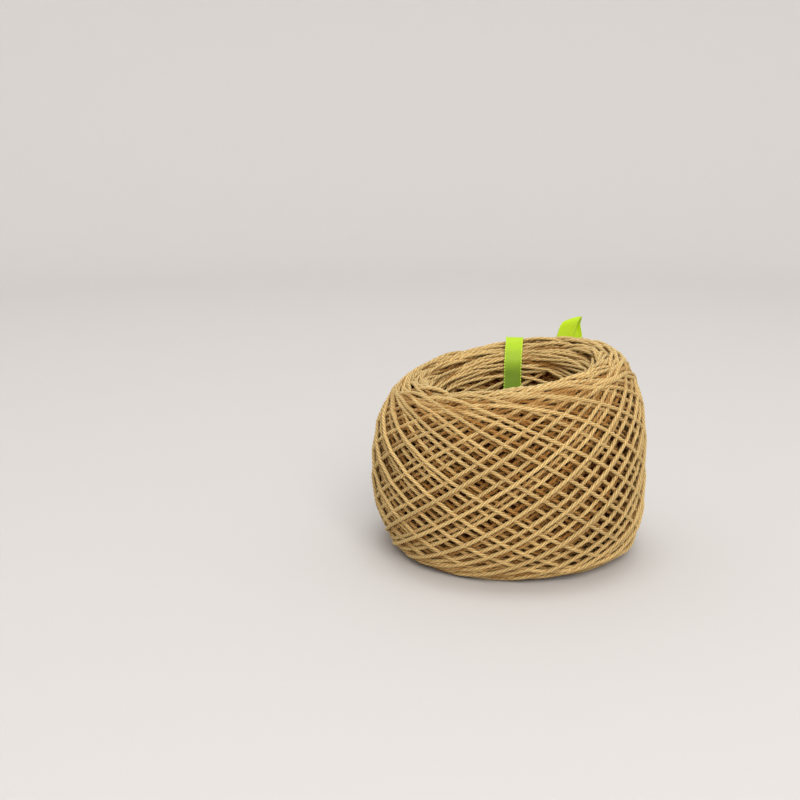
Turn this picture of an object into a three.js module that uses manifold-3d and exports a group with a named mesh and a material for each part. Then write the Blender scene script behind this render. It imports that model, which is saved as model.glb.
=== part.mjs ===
// A ball of cotton yarn, cross-wound into a thick ring round a core that was
// then drawn out, and the ribbon that is tied through its hollow to hold it.
// Millimetres, +Z up. The ball rests on its flat underside, its axis on Z.
import * as THREE from 'three';
import { mergeVertices } from 'three/addons/utils/BufferGeometryUtils.js';
import Module from 'manifold-3d';

const wasm = await Module();
wasm.setup();

// The ball's height at its axis, and how much higher its right and far sides are
const BALL_HEIGHT = 70.4;
const RIGHT_RISE = 7.0;
const FAR_RISE = 1.8;
// The rise grows from the axis to this radius and is the same outside it
const FULL_RISE_RADIUS = 45.0;
// The lower right side is pressed out by this much at its fullest height, and
// less with the height's reach above it. The hollow keeps its shape
const LOW_BULGE = { out: 3.8, z: 5.0, reach: 14.0 };
const BULGE_START_RADIUS = 30.0;
const BULGE_FULL_RADIUS = 45.0;

// Section of the wound ring over the strands' crests, underside to top ridge
const OUTER_SECTION = [
  { r: 34.0, z: 0.0 },
  { r: 40.6, z: 1.5 },
  { r: 44.2, z: 4.8 },
  { r: 46.8, z: 9.8 },
  { r: 49.9, z: 18.0 },
  { r: 51.3, z: 29.6 },
  { r: 51.0, z: 42.2 },
  { r: 49.2, z: 53.5 },
  { r: 45.2, z: 62.2 },
  { r: 41.3, z: 67.2 },
  { r: 36.7, z: BALL_HEIGHT },
];

// From behind the ridge down through the hollow to the underside again
const HOLLOW_SECTION = [
  { r: 33.0, z: 69.6 },
  { r: 29.8, z: 66.2 },
  { r: 27.6, z: 60.0 },
  { r: 26.4, z: 42.0 },
  { r: 25.4, z: 24.0 },
  { r: 24.6, z: 6.0 },
  { r: 26.5, z: 0.0 },
];

// The winding: strands that lean each way, and grid steps from one to the next
const STRANDS_EACH_WAY = 18;
const STEPS_PER_STRAND = 4;
const COLUMNS = STRANDS_EACH_WAY * STEPS_PER_STRAND;
const OUTER_BANDS = COLUMNS / 2;
// How far the strands' path follows a sine, from 0, a zigzag, to 1
const PATH_ROUNDNESS = 0.5;
// Height of the winding at 0, 1 and 2 grid steps from a main strand
const STRAND_LIFT = [1.6, 0.2, 0.0];
const CREST = STRAND_LIFT[0];
// Main strands lie up to this share lower than the highest ones
const UNEVEN_SHARE = 0.3;
const UNEVEN_STEP = 2.4;
// Bands over which the relief fades towards the flat underside and the ridge
const LOW_FADE_BANDS = 5;
const HIGH_FADE_BANDS = 4;

// The ribbon tie: its direction seen from the axis, its width and thickness
const TIE_ANGLE = THREE.MathUtils.degToRad(81);
const RIBBON_WIDTH = 6.8;
const RIBBON_THICKNESS = 1.0;
const TIE_BITE = 0.3;
const GAP = 0.3;
const UNDERSIDE_CLEARANCE = 0.1;
const CHANNEL_REACH = 3.0;
const LOOP_POINTS = 64;

// The knot on the far shoulder: its middle, and its half sizes along the
// ribbon, across it and out from the ball
const KNOT = { r: 48.6, z: 60.0, along: 4.2, across: 4.6, out: 2.6 };
const KNOT_LEAN = THREE.MathUtils.degToRad(32);

// The end that rises above the rim and is folded over at its top: the middle of
// the ribbon, and the slope of its width, all the way from the knot
const FOLDED_END = [
  { x: 7.6, y: 49.0, z: 60.4, slope: -80 },
  { x: 13.5, y: 49.2, z: 61.4, slope: -76 },
  { x: 19.5, y: 47.6, z: 63.4, slope: -60 },
  { x: 24.6, y: 45.2, z: 67.0, slope: -38 },
  { x: 27.4, y: 43.8, z: 71.5, slope: -20 },
  { x: 28.5, y: 43.2, z: 75.9, slope: -6 },
  { x: 29.9, y: 43.0, z: 79.6, slope: 14 },
  { x: 30.5, y: 43.9, z: 80.6, slope: 18 },
  { x: 30.1, y: 44.9, z: 79.6, slope: 12 },
  { x: 30.1, y: 45.3, z: 76.3, slope: 2 },
  { x: 31.1, y: 45.5, z: 71.8, slope: -6 },
  { x: 31.8, y: 45.3, z: 67.5, slope: -8 },
];

// The other end, which hangs down the far side
const HANGING_END = [
  { x: 7.2, y: 49.4, z: 59.6, slope: 12 },
  { x: 5.6, y: 50.7, z: 54.6, slope: 16 },
  { x: 3.8, y: 51.4, z: 48.8, slope: 14 },
  { x: 2.4, y: 51.5, z: 43.0, slope: 10 },
];

const mod = (value, divisor) => ((value % divisor) + divisor) % divisor;
const fullSection = [...OUTER_SECTION, ...HOLLOW_SECTION];
const outerCurve = new THREE.SplineCurve(OUTER_SECTION.map((p) => new THREE.Vector2(p.r, p.z)));

// How much higher than its section the ball is in a direction, at a radius
function rise(angle, r) {
  const share = Math.min(1, r / FULL_RISE_RADIUS);
  const extra = RIGHT_RISE * Math.cos(angle) + FAR_RISE * Math.sin(angle);
  return 1 + (extra * share) / BALL_HEIGHT;
}

// How far out the lower right side stands from the section
function bulge(angle, r, z) {
  const share = THREE.MathUtils.smoothstep(r, BULGE_START_RADIUS, BULGE_FULL_RADIUS);
  const facing = Math.max(0, Math.cos(angle)) ** 2;
  return LOW_BULGE.out * share * facing * Math.exp(-(((z - LOW_BULGE.z) / LOW_BULGE.reach) ** 2));
}

function place(angle, r, z) {
  const out = r + bulge(angle, r, z);
  return new THREE.Vector3(out * Math.cos(angle), out * Math.sin(angle), z * rise(angle, r));
}

// The winding's height due to the strands of one lean
function leanLift(offset) {
  const step = mod(offset, STEPS_PER_STRAND);
  const distance = Math.min(step, STEPS_PER_STRAND - step);
  const strand = Math.round((offset - step) / STEPS_PER_STRAND);
  const uneven = 1 - UNEVEN_SHARE * Math.abs(Math.sin(UNEVEN_STEP * mod(strand, STRANDS_EACH_WAY)));
  return STRAND_LIFT[distance] * uneven;
}

function windingLift(column, band) {
  return Math.max(leanLift(column - band), leanLift(column + band));
}

// Height along the outer section, from 0 to 1, that the strands have at a band
function bandHeight(band) {
  const turn = (band / OUTER_BANDS - 0.5) * Math.PI;
  const straight = (2 * turn) / Math.PI;
  const path = PATH_ROUNDNESS * Math.sin(turn) + (1 - PATH_ROUNDNESS) * straight;
  return THREE.MathUtils.clamp((1 + path) / 2, 0, 1);
}

function outerRing(band) {
  const at = bandHeight(band);
  const point = outerCurve.getPointAt(at);
  const tangent = outerCurve.getTangentAt(at);
  const fade = Math.min(1, band / LOW_FADE_BANDS, (OUTER_BANDS - band + 1) / HIGH_FADE_BANDS);
  return Array.from({ length: COLUMNS }, (_, column) => {
    const sink = (CREST - windingLift(column, band)) * fade;
    const r = point.x - tangent.y * sink;
    const z = point.y + tangent.x * sink;
    return place((column / COLUMNS) * 2 * Math.PI, r, z);
  });
}

function hollowRing({ r, z }) {
  return Array.from({ length: COLUMNS }, (_, column) => place((column / COLUMNS) * 2 * Math.PI, r, z));
}

// A band's four-sided cells are cut along the strand that crosses them
function cutsUpward(column, band) {
  return mod(column - band, STEPS_PER_STRAND) === 0 || mod(column + band, 2) === 0;
}

function cutsDownward(column, band) {
  return mod(column + band + 1, STEPS_PER_STRAND) === 0;
}

function closedSurface(rings) {
  const vertices = rings.flat().flatMap((p) => [p.x, p.y, p.z]);
  const triangles = [];
  rings.forEach((ring, band) => {
    const low = band * COLUMNS;
    const high = mod(band + 1, rings.length) * COLUMNS;
    ring.forEach((_, column) => {
      const next = mod(column + 1, COLUMNS);
      const [a, b, c, d] = [low + column, low + next, high + next, high + column];
      if (cutsUpward(column, band) && !cutsDownward(column, band)) triangles.push(a, b, c, a, c, d);
      else triangles.push(a, b, d, b, c, d);
    });
  });
  return geometryOf(vertices, triangles);
}

function geometryOf(vertices, triangles) {
  const geometry = new THREE.BufferGeometry();
  geometry.setAttribute('position', new THREE.Float32BufferAttribute(vertices, 3));
  geometry.setIndex(triangles);
  return geometry;
}

function solidOf(geometry) {
  const bare = geometry.clone();
  bare.deleteAttribute('normal');
  bare.deleteAttribute('uv');
  const merged = mergeVertices(bare, 1e-4);
  return new wasm.Manifold(new wasm.Mesh({
    numProp: 3,
    vertProperties: Float32Array.from(merged.attributes.position.array),
    triVerts: Uint32Array.from(merged.index.array),
  }));
}

function geometryFrom(solid) {
  const mesh = solid.getMesh();
  return geometryOf(Array.from(mesh.vertProperties), Array.from(mesh.triVerts));
}

// The ring's section where the ribbon goes round it, evenly spaced
function sectionLoop() {
  const points = fullSection.map(({ r, z }) => new THREE.Vector3(r, z * rise(TIE_ANGLE, r), 0));
  const curve = new THREE.CatmullRomCurve3(points, true, 'centripetal');
  return curve.getSpacedPoints(LOOP_POINTS).slice(0, LOOP_POINTS);
}

// The loop moved outward by a distance and kept above a height
function grownLoop(loop, distance, lowest) {
  return loop.map((point, i) => {
    const before = loop[mod(i - 1, loop.length)];
    const after = loop[mod(i + 1, loop.length)];
    const along = after.clone().sub(before).normalize();
    const r = point.x + along.y * distance;
    const z = point.y - along.x * distance;
    return new THREE.Vector2(r, Math.max(z, lowest));
  });
}

// A band round the ring, between two loops, its width across the tie's plane
function bandAround(outside, inside, width) {
  const shape = new THREE.Shape(outside);
  shape.holes.push(new THREE.Path(inside));
  const geometry = new THREE.ExtrudeGeometry(shape, { depth: width, bevelEnabled: false });
  const radial = new THREE.Vector3(Math.cos(TIE_ANGLE), Math.sin(TIE_ANGLE), 0);
  const up = new THREE.Vector3(0, 0, 1);
  const sideways = radial.clone().cross(up);
  const turn = new THREE.Matrix4().makeBasis(radial, up, sideways);
  geometry.translate(0, 0, -width / 2);
  return geometry.applyMatrix4(turn);
}

// The direction of the ribbon at a station, and of its width and its thickness
function ribbonFrame(middles, stations, i) {
  const before = middles[Math.max(i - 1, 0)];
  const after = middles[Math.min(i + 1, middles.length - 1)];
  const along = after.clone().sub(before).normalize();
  const slope = THREE.MathUtils.degToRad(stations[i].slope);
  const across = new THREE.Vector3(Math.cos(slope), 0, Math.sin(slope));
  across.addScaledVector(along, -across.dot(along)).normalize();
  return { across, thick: along.cross(across) };
}

// One length of ribbon through its stations, square at both ends
function ribbonLength(stations) {
  const corners = [[-1, -1], [1, -1], [1, 1], [-1, 1]];
  const middles = stations.map(({ x, y, z }) => new THREE.Vector3(x, y, z));
  const vertices = middles.flatMap((middle, i) => {
    const { across, thick } = ribbonFrame(middles, stations, i);
    return corners.flatMap(([side, face]) => middle.clone()
      .addScaledVector(across, (side * RIBBON_WIDTH) / 2)
      .addScaledVector(thick, (face * RIBBON_THICKNESS) / 2)
      .toArray());
  });
  const triangles = [0, 1, 2, 0, 2, 3];
  for (let i = 0; i < stations.length - 1; i += 1) {
    for (let side = 0; side < 4; side += 1) {
      const [a, b] = [4 * i + side, 4 * i + mod(side + 1, 4)];
      triangles.push(a, a + 4, b, b, a + 4, b + 4);
    }
  }
  const last = 4 * (stations.length - 1);
  triangles.push(last, last + 2, last + 1, last, last + 3, last + 2);
  return geometryOf(vertices, triangles);
}

// A closed geometry as a solid, whichever way its faces were listed
function outwardSolid(geometry) {
  const solid = solidOf(geometry);
  if (solid.volume() > 0) return solid;
  const index = Array.from(geometry.index.array);
  for (let i = 0; i < index.length; i += 3) [index[i], index[i + 1]] = [index[i + 1], index[i]];
  return solidOf(geometryOf(Array.from(geometry.attributes.position.array), index));
}

// The knot's lump, grown all round by a clearance
function knotLump(clearance) {
  const ball = new THREE.SphereGeometry(1, 14, 8);
  ball.scale(KNOT.out + clearance, KNOT.across + clearance, KNOT.along + clearance);
  ball.rotateY(-KNOT_LEAN);
  ball.translate(KNOT.r, 0, KNOT.z);
  return solidOf(ball.rotateZ(TIE_ANGLE));
}

function channelSolid(loop) {
  const outside = grownLoop(loop, CHANNEL_REACH, -CHANNEL_REACH);
  const floor = UNDERSIDE_CLEARANCE + RIBBON_THICKNESS + GAP;
  const inside = grownLoop(loop, -TIE_BITE - GAP, floor);
  return outwardSolid(bandAround(outside, inside, RIBBON_WIDTH + 2 * GAP));
}

function strapSolid(loop) {
  const outside = grownLoop(loop, RIBBON_THICKNESS - TIE_BITE, UNDERSIDE_CLEARANCE);
  const inside = grownLoop(loop, -TIE_BITE, UNDERSIDE_CLEARANCE + RIBBON_THICKNESS);
  return outwardSolid(bandAround(outside, inside, RIBBON_WIDTH));
}

function woundYarn(loop) {
  const rings = Array.from({ length: OUTER_BANDS + 1 }, (_, band) => outerRing(band));
  rings.push(...HOLLOW_SECTION.map(hollowRing));
  const wound = solidOf(closedSurface(rings));
  return wound.subtract(channelSolid(loop)).subtract(knotLump(GAP));
}

function ribbonTie(loop) {
  return strapSolid(loop)
    .add(knotLump(0))
    .add(outwardSolid(ribbonLength(FOLDED_END)))
    .add(outwardSolid(ribbonLength(HANGING_END)));
}

const yarnMaterial = new THREE.MeshStandardMaterial({ color: 0xc2a06a, roughness: 0.9, metalness: 0 });
const ribbonMaterial = new THREE.MeshStandardMaterial({ color: 0x9ae60a, roughness: 0.45, metalness: 0 });

function subPart(name, solid, material) {
  const mesh = new THREE.Mesh(geometryFrom(solid), material);
  mesh.name = name;
  return mesh;
}

const tieLoop = sectionLoop();
const ball = new THREE.Group();
ball.add(subPart('wound_yarn', woundYarn(tieLoop), yarnMaterial));
ball.add(subPart('ribbon_tie', ribbonTie(tieLoop), ribbonMaterial));

export default ball;
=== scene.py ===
"""Dresses the ball of cotton yarn: its winding, its ribbon tie, the stage and the camera.

Lengths are in millimetres unless a name says otherwise. Every mesh is made in metres.
"""

import logging
import math
from dataclasses import dataclass, field
from enum import Enum
from typing import NamedTuple

import bpy
import numpy as np
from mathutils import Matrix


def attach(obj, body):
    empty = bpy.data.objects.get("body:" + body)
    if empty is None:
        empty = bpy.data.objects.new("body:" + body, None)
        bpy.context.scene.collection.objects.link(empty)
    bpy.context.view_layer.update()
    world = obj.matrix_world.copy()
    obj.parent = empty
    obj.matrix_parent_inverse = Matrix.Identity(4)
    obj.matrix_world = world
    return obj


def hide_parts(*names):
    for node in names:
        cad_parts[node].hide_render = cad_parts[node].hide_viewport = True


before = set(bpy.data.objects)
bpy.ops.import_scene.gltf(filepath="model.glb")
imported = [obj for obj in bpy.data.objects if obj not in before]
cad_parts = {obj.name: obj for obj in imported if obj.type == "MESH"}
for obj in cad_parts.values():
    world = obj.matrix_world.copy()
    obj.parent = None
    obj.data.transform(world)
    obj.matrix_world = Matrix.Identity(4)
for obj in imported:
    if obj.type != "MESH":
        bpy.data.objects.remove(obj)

log = logging.getLogger("yarn_ball")

MM = 0.001
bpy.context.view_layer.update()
TURN = 2.0 * math.pi

# Directions round the axis: of the ribbon tie, and of the place where the yarn's end is tucked in
TIE_ANGLE = math.radians(81)
END_ANGLE = math.radians(110)

Colour = tuple[float, float, float, float]
Triple = tuple[float, float, float]


class SectionPoint(NamedTuple):
    """A point of the wound ring's section: its distance from the axis and its height."""

    r: float
    z: float


class RibbonStation(NamedTuple):
    """A place along the ribbon: its middle, its width, and how the width slopes and turns back.

    The slope and the turn are in degrees. Where the ribbon folds at a slant, the width is
    measured along the fold.
    """

    x: float
    y: float
    z: float
    slope: float
    turn: float = 0.0
    width: float = 6.8


# Over the strands' crests, from the flat underside to the top ridge
OUTER_SECTION = (
    SectionPoint(r=34.0, z=0.0),
    SectionPoint(r=40.6, z=1.5),
    SectionPoint(r=44.2, z=4.8),
    SectionPoint(r=46.8, z=9.8),
    SectionPoint(r=49.9, z=18.0),
    SectionPoint(r=51.3, z=29.6),
    SectionPoint(r=51.0, z=42.2),
    SectionPoint(r=49.2, z=53.5),
    SectionPoint(r=45.2, z=62.2),
    SectionPoint(r=41.3, z=67.2),
    SectionPoint(r=36.7, z=70.4),
)

# From behind the ridge down through the hollow to the underside again
HOLLOW_SECTION = (
    SectionPoint(r=33.0, z=69.6),
    SectionPoint(r=29.8, z=66.2),
    SectionPoint(r=27.6, z=60.0),
    SectionPoint(r=26.4, z=42.0),
    SectionPoint(r=25.4, z=24.0),
    SectionPoint(r=24.6, z=6.0),
    SectionPoint(r=26.5, z=0.0),
)
HOLLOW_LIP = HOLLOW_SECTION[2]
HOLLOW_FOOT = HOLLOW_SECTION[5]


def lengths(line: np.ndarray) -> np.ndarray:
    """Measures how far along a line each of its points is."""
    return np.concatenate([[0.0], np.cumsum(np.linalg.norm(np.diff(line, axis=0), axis=1))])


def looked_up(wanted: np.ndarray, known: np.ndarray, rows: np.ndarray) -> np.ndarray:
    """Looks up rows of values between the places where they are known.

    Args:
        wanted: The places to look up.
        known: The places where the values are known.
        rows: The values there, a row for each place.

    Returns:
        The values at the wanted places, a row for each.
    """
    return np.stack([np.interp(wanted, known, column) for column in rows.T], axis=-1)


def spline(points: np.ndarray, count: int) -> np.ndarray:
    """Follows a smooth curve through some points.

    Args:
        points: The points to pass through, one a row.
        count: How many points to return.

    Returns:
        Points evenly spaced along the curve, one a row.
    """
    steps = 24
    before = 2 * points[0] - points[1]
    after = 2 * points[-1] - points[-2]
    padded = np.vstack([before, points, after])
    t = np.linspace(0, 1, steps, endpoint=False)[:, None]
    spans = []
    for a, b, c, d in zip(padded, padded[1:], padded[2:], padded[3:]):
        square, cube = 2 * a - 5 * b + 4 * c - d, 3 * b - a - 3 * c + d
        spans.append(0.5 * (2 * b + (c - a) * t + square * t**2 + cube * t**3))
    return evenly(np.vstack([*spans, points[-1:]]), count)


def evenly(line: np.ndarray, count: int) -> np.ndarray:
    """Spaces points evenly along a line of points.

    Args:
        line: The line's points, one a row.
        count: How many points to return.

    Returns:
        The new points, one a row.
    """
    length = lengths(line)
    return looked_up(np.linspace(0.0, length[-1], count), length, line)


def unit(vectors: np.ndarray) -> np.ndarray:
    """Scales each row to length one."""
    return vectors / np.maximum(np.linalg.norm(vectors, axis=-1, keepdims=True), 1e-12)


@dataclass
class RingSection:
    """The section of the wound ring as a patch, from hollow wall to outside and from low to high.

    share runs from 0 on the hollow's wall to 1 over the outermost strands, and along runs from
    -1 where the strands turn at the underside to 1 where they turn at the top.
    """

    height: float = 70.4
    right_rise: float = 7.0
    far_rise: float = 1.8
    full_rise_radius: float = 45.0
    bulge_out: float = 3.8
    bulge_height: float = 5.0
    bulge_reach: float = 14.0
    bulge_start_radius: float = 30.0
    bulge_full_radius: float = 45.0
    samples: int = 400
    low_turn: float = 6.5
    high_turn: float = 5.2
    hollow_turn: float = 3.0

    def __post_init__(self) -> None:
        """Cuts the closed section into the patch's four sides."""
        loop = spline(np.array(OUTER_SECTION + HOLLOW_SECTION + OUTER_SECTION[:1]), 4 * self.samples)
        length = lengths(loop)
        ridge = length[np.argmax(loop[:, 1])] - self.high_turn
        lip = length[self._nearest(loop, HOLLOW_LIP)] - self.hollow_turn
        foot = length[self._nearest(loop, HOLLOW_FOOT)] + self.hollow_turn
        twice = np.vstack([loop, loop[1:]])
        twice_length = np.concatenate([length, length[-1] + length[1:]])
        self.loop = loop
        self.outer = self._stretch(loop, length, self.low_turn, ridge)
        self.top = self._stretch(loop, length, ridge, lip)[::-1]
        self.hollow = self._stretch(loop, length, lip, foot)[::-1]
        self.bottom = self._stretch(twice, twice_length, foot, length[-1] + self.low_turn)

    @staticmethod
    def _nearest(loop: np.ndarray, point: SectionPoint) -> int:
        """Finds which point of the loop is nearest to a point."""
        return int(np.argmin(np.hypot(loop[:, 0] - point.r, loop[:, 1] - point.z)))

    def _stretch(self, line: np.ndarray, length: np.ndarray, start: float, end: float) -> np.ndarray:
        """Returns the stretch of a line between two lengths along it, evenly spaced."""
        return looked_up(np.linspace(start, end, self.samples), length, line)

    def _side(self, side: np.ndarray, at: np.ndarray) -> np.ndarray:
        """Looks up one side of the patch at shares from 0 to 1."""
        return looked_up(np.clip(at, 0.0, 1.0) * (self.samples - 1), np.arange(self.samples), side)

    def meridian(self, share: np.ndarray, along: np.ndarray) -> np.ndarray:
        """Finds points of the section.

        Args:
            share: How far from the hollow's wall to the outside, 0 to 1.
            along: How far from the underside to the top, -1 to 1.

        Returns:
            The radius and height of each point.
        """
        t = np.asarray(share, float)[..., None]
        s = (np.asarray(along, float)[..., None] + 1) / 2
        hollow, outer = self._side(self.hollow, s[..., 0]), self._side(self.outer, s[..., 0])
        inside = np.clip(t, 0.0, 1.0)
        low = self._side(self.bottom, inside[..., 0])
        low -= (1 - inside) * self.bottom[0] + inside * self.bottom[-1]
        high = self._side(self.top, inside[..., 0])
        high -= (1 - inside) * self.top[0] + inside * self.top[-1]
        return (1 - t) * hollow + t * outer + (1 - s) * low + s * high

    def rise(self, angle: np.ndarray, r: np.ndarray) -> np.ndarray:
        """How much taller than its section the ball is in a direction, at a radius."""
        extra = self.right_rise * np.cos(angle) + self.far_rise * np.sin(angle)
        return 1 + extra * np.minimum(1.0, r / self.full_rise_radius) / self.height

    def bulge(self, angle: np.ndarray, r: np.ndarray, z: np.ndarray) -> np.ndarray:
        """How far out the lower right side stands from the section.

        Args:
            angle: Directions round the axis.
            r: Radii in the section.
            z: Heights in the section.

        Returns:
            The distance outward at each point.
        """
        start, full = self.bulge_start_radius, self.bulge_full_radius
        share = np.clip((r - start) / (full - start), 0, 1)
        eased = share * share * (3 - 2 * share)
        facing = np.maximum(0.0, np.cos(angle)) ** 2
        fade = np.exp(-(((z - self.bulge_height) / self.bulge_reach) ** 2))
        return self.bulge_out * eased * facing * fade

    def place(self, angle: np.ndarray, r: np.ndarray, z: np.ndarray) -> np.ndarray:
        """Places points of the section round the axis, in millimetres."""
        out = r + self.bulge(angle, r, z)
        return np.stack([out * np.cos(angle), out * np.sin(angle), z * self.rise(angle, r)], axis=-1)

    def thickness(self, along: np.ndarray) -> np.ndarray:
        """The ring's thickness from hollow wall to outside, at a height.

        Args:
            along: How far from the underside to the top, -1 to 1.

        Returns:
            The thickness at each height.
        """
        along = np.asarray(along, float)
        across = self.meridian(np.ones_like(along), along) - self.meridian(np.zeros_like(along), along)
        return np.linalg.norm(across, axis=-1)


@dataclass
class Strand:
    """A stretch of wound yarn: its direction round the axis, and its place in the section."""

    angle: np.ndarray
    along: np.ndarray
    share: np.ndarray

    def part(self, which: slice, share: np.ndarray | None = None) -> "Strand":
        """Cuts out some of the points, with new shares if they are given."""
        shares = self.share if share is None else share
        return Strand(self.angle[which], self.along[which], shares[which])


def joined(strands: list[Strand]) -> Strand:
    """Joins stretches of yarn end to end."""
    parts = zip(*((s.angle, s.along, s.share) for s in strands))
    return Strand(*(np.concatenate(part) for part in parts))


@dataclass
class Winder:
    """Winds the yarn turn by turn, each pulled taut over the strands that it crosses."""

    ring: RingSection
    yarn_radius: float = 0.75
    stacking_radius: float = 0.62
    strands_round: float = 17.38
    inner_turns: float = 2.0
    steady_from: float = 0.55
    packing: float = 0.46
    inner_packing: float = 0.6
    inner_share: float = 0.35
    least_reach: float = 0.84
    settle: float = 0.5
    proudest: float = 0.25
    tautness: float = 1.15
    wobble: float = 0.02
    waves: int = 6
    least_straight: float = 0.72
    most_straight: float = 0.86
    carry: int = 30
    held_points: int = 8
    first_share: float = 0.02
    sample_step: float = 0.7
    angle_cells: int = 720
    along_cells: int = 190
    seed: int = 11

    def __post_init__(self) -> None:
        """Starts with an empty core."""
        self.random = np.random.default_rng(self.seed)
        centres = (np.arange(self.along_cells) + 0.5) / self.along_cells * 2 - 1
        self.cell_thickness = self.ring.thickness(centres)
        self.half_length = 0.5 * np.linalg.norm(np.diff(self.ring.outer, axis=0), axis=1).sum()
        self.pile = np.zeros((self.angle_cells, self.along_cells))

    def _turns(self, share: float) -> float:
        """How many turns round the axis one trip up and down takes.

        Args:
            share: The share that the winding has reached.

        Returns:
            The number of turns.
        """
        steady = 1 - 1 / self.strands_round
        early = max(0.0, 1 - share / self.steady_from)
        return steady + (self.inner_turns - steady) * early**1.5

    def _cells(self, angle: np.ndarray, along: np.ndarray, r: np.ndarray) -> tuple[np.ndarray, ...]:
        """Finds the cells under a strand.

        Args:
            angle: The strand's directions round the axis.
            along: The strand's heights.
            r: The strand's radii.

        Returns:
            The cells' rows and columns, and how high the strand's round side stands over each.
        """
        rows_near, columns_near = np.arange(-3, 4), np.arange(-2, 3)
        a, b = np.meshgrid(rows_near, columns_near)
        row = angle / TURN * self.angle_cells
        column = (along + 1) / 2 * self.along_cells
        rows = np.floor(row)[:, None].astype(int) + a.ravel()
        columns = np.floor(column)[:, None].astype(int) + b.ravel()
        wide = (rows + 0.5 - row[:, None]) * TURN / self.angle_cells * r[:, None]
        tall = (columns + 0.5 - column[:, None]) * 2 * self.half_length / self.along_cells
        room = self.stacking_radius**2 - wide**2 - tall**2
        inside = (room > 0) & (columns >= 0) & (columns < self.along_cells)
        columns = np.clip(columns, 0, self.along_cells - 1)
        lift = np.where(inside, np.sqrt(np.maximum(room, 0.0)), -np.inf)
        return rows % self.angle_cells, columns, lift / self.cell_thickness[columns]

    @staticmethod
    def _taut(length: np.ndarray, support: np.ndarray, radius: float) -> np.ndarray:
        """Pulls a string taut over supports on a round body.

        Args:
            length: Lengths along the string.
            support: The lowest height of the string at each.
            radius: The body's radius under the string.

        Returns:
            The string's height at each length.
        """
        level = support - length**2 / (2 * radius)
        hull: list[int] = []
        for i in range(len(length)):
            while len(hull) > 1:
                j, k = hull[-1], hull[-2]
                rise_kj = (level[j] - level[k]) * (length[i] - length[k])
                rise_ki = (level[i] - level[k]) * (length[j] - length[k])
                if rise_kj > rise_ki:
                    break
                hull.pop()
            hull.append(i)
        return np.interp(length, length[hull], level[hull]) + length**2 / (2 * radius)

    def _lay(self, path: Strand, target: float, before: Strand, hold: int) -> Strand:
        """Lays one stretch of yarn on the pile.

        Args:
            path: The stretch's path. Its share isn't used.
            target: The share that the winding has reached.
            before: The end of the yarn that lies already.
            hold: How many points at the end of the path are left for the next stretch.

        Returns:
            The stretch as it lies, without the points left for later.
        """
        r = self.ring.meridian(np.full_like(path.along, target), path.along)
        rows, columns, lift = self._cells(path.angle, path.along, r[:, 0])
        thick = self.ring.thickness(path.along)
        support = ((self.pile[rows, columns] + lift).max(axis=1) - target) * thick
        place = self.ring.place(path.angle, r[:, 0], r[:, 1])
        held_length = -self.sample_step * np.arange(len(before.share), 0, -1)
        held = (before.share - target) * self.ring.thickness(before.along)
        length = np.concatenate([held_length, lengths(place)])
        height = self._taut(length, np.concatenate([held, support]), self.tautness * r[:, 0].mean())
        share = target + height[len(held):] / thick
        done = len(share) - hold
        np.maximum.at(self.pile, (rows[:done], columns[:done]), (share[:, None] + lift)[:done])
        return path.part(slice(0, done), share)

    def _trip(
        self, angle: float, share: float, reach: float, next_reach: float, upward: bool
    ) -> Strand:
        """Plans one trip of the yarn from the underside to the top, or back.

        Args:
            angle: Where the trip starts round the axis.
            share: The share that the winding has reached.
            reach: How near the end of the ring the trip starts.
            next_reach: How near the other end it turns.
            upward: Whether it goes up.

        Returns:
            The trip's path.
        """
        half_turns = self._turns(share) * math.pi
        r = self.ring.meridian(np.array(share), np.array(0.0))[0]
        count = int(math.hypot(half_turns * r, 2 * self.half_length) / self.sample_step)
        phase = np.linspace(0, 1, count, endpoint=False)
        straight = self.random.uniform(self.least_straight, self.most_straight)
        swing = -np.arcsin(straight * np.cos(phase * math.pi)) / math.asin(straight)
        along = swing * (1 - (1 - np.where(swing < 0, reach, next_reach)) * np.abs(swing) ** 3)
        if not upward:
            along = -along
        waves = np.arange(1, self.waves + 1)
        sizes = self.random.normal(0.0, self.wobble / waves)
        wobble = np.sin(phase[:, None] * waves * math.pi) @ sizes
        return Strand(angle + half_turns * phase + wobble, along, np.full(count, share))

    def wind(self) -> Strand:
        """Winds the whole ball.

        Returns:
            The yarn from its first turn to its last.
        """
        empty = np.zeros(0)
        laid = [Strand(empty, empty, empty)]
        carried = Strand(empty, empty, empty)
        angle, share, reach, upward = 0.0, self.first_share, 1.0, True
        while share < 1.0 or not upward:
            next_reach = self.random.uniform(self.least_reach, 1.0)
            trip = self._trip(angle, share, reach, next_reach, upward)
            path = joined([carried, trip])
            held = laid[-1].part(slice(-self.held_points, None))
            laid.append(self._lay(path, share, held, self.carry))
            carried = path.part(slice(-self.carry, None))
            r = self.ring.meridian(np.array(share), np.array(0.0))[0]
            volume = len(trip.share) * self.sample_step * math.pi * self.yarn_radius**2
            packing = np.interp(share, (0.0, self.inner_share), (self.inner_packing, self.packing))
            shell = TURN * r * 2 * self.half_length * packing
            share += volume / shell / self.cell_thickness.max()
            self.pile -= self.settle * np.maximum(self.pile.mean(axis=0) - share, 0.0)
            self.pile = np.minimum(self.pile, share + self.proudest)
            angle += self._turns(share) * math.pi
            reach, upward = next_reach, not upward
        yarn = joined(laid)
        yarn.angle += END_ANGLE - yarn.angle[-1]
        return yarn


class Slot(Enum):
    """The material slots' names."""

    YARN = "cotton_yarn"
    RIBBON = "satin_ribbon"


class Node(Enum):
    """The CAD nodes."""

    YARN = "wound_yarn"
    RIBBON = "ribbon_tie"


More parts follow.
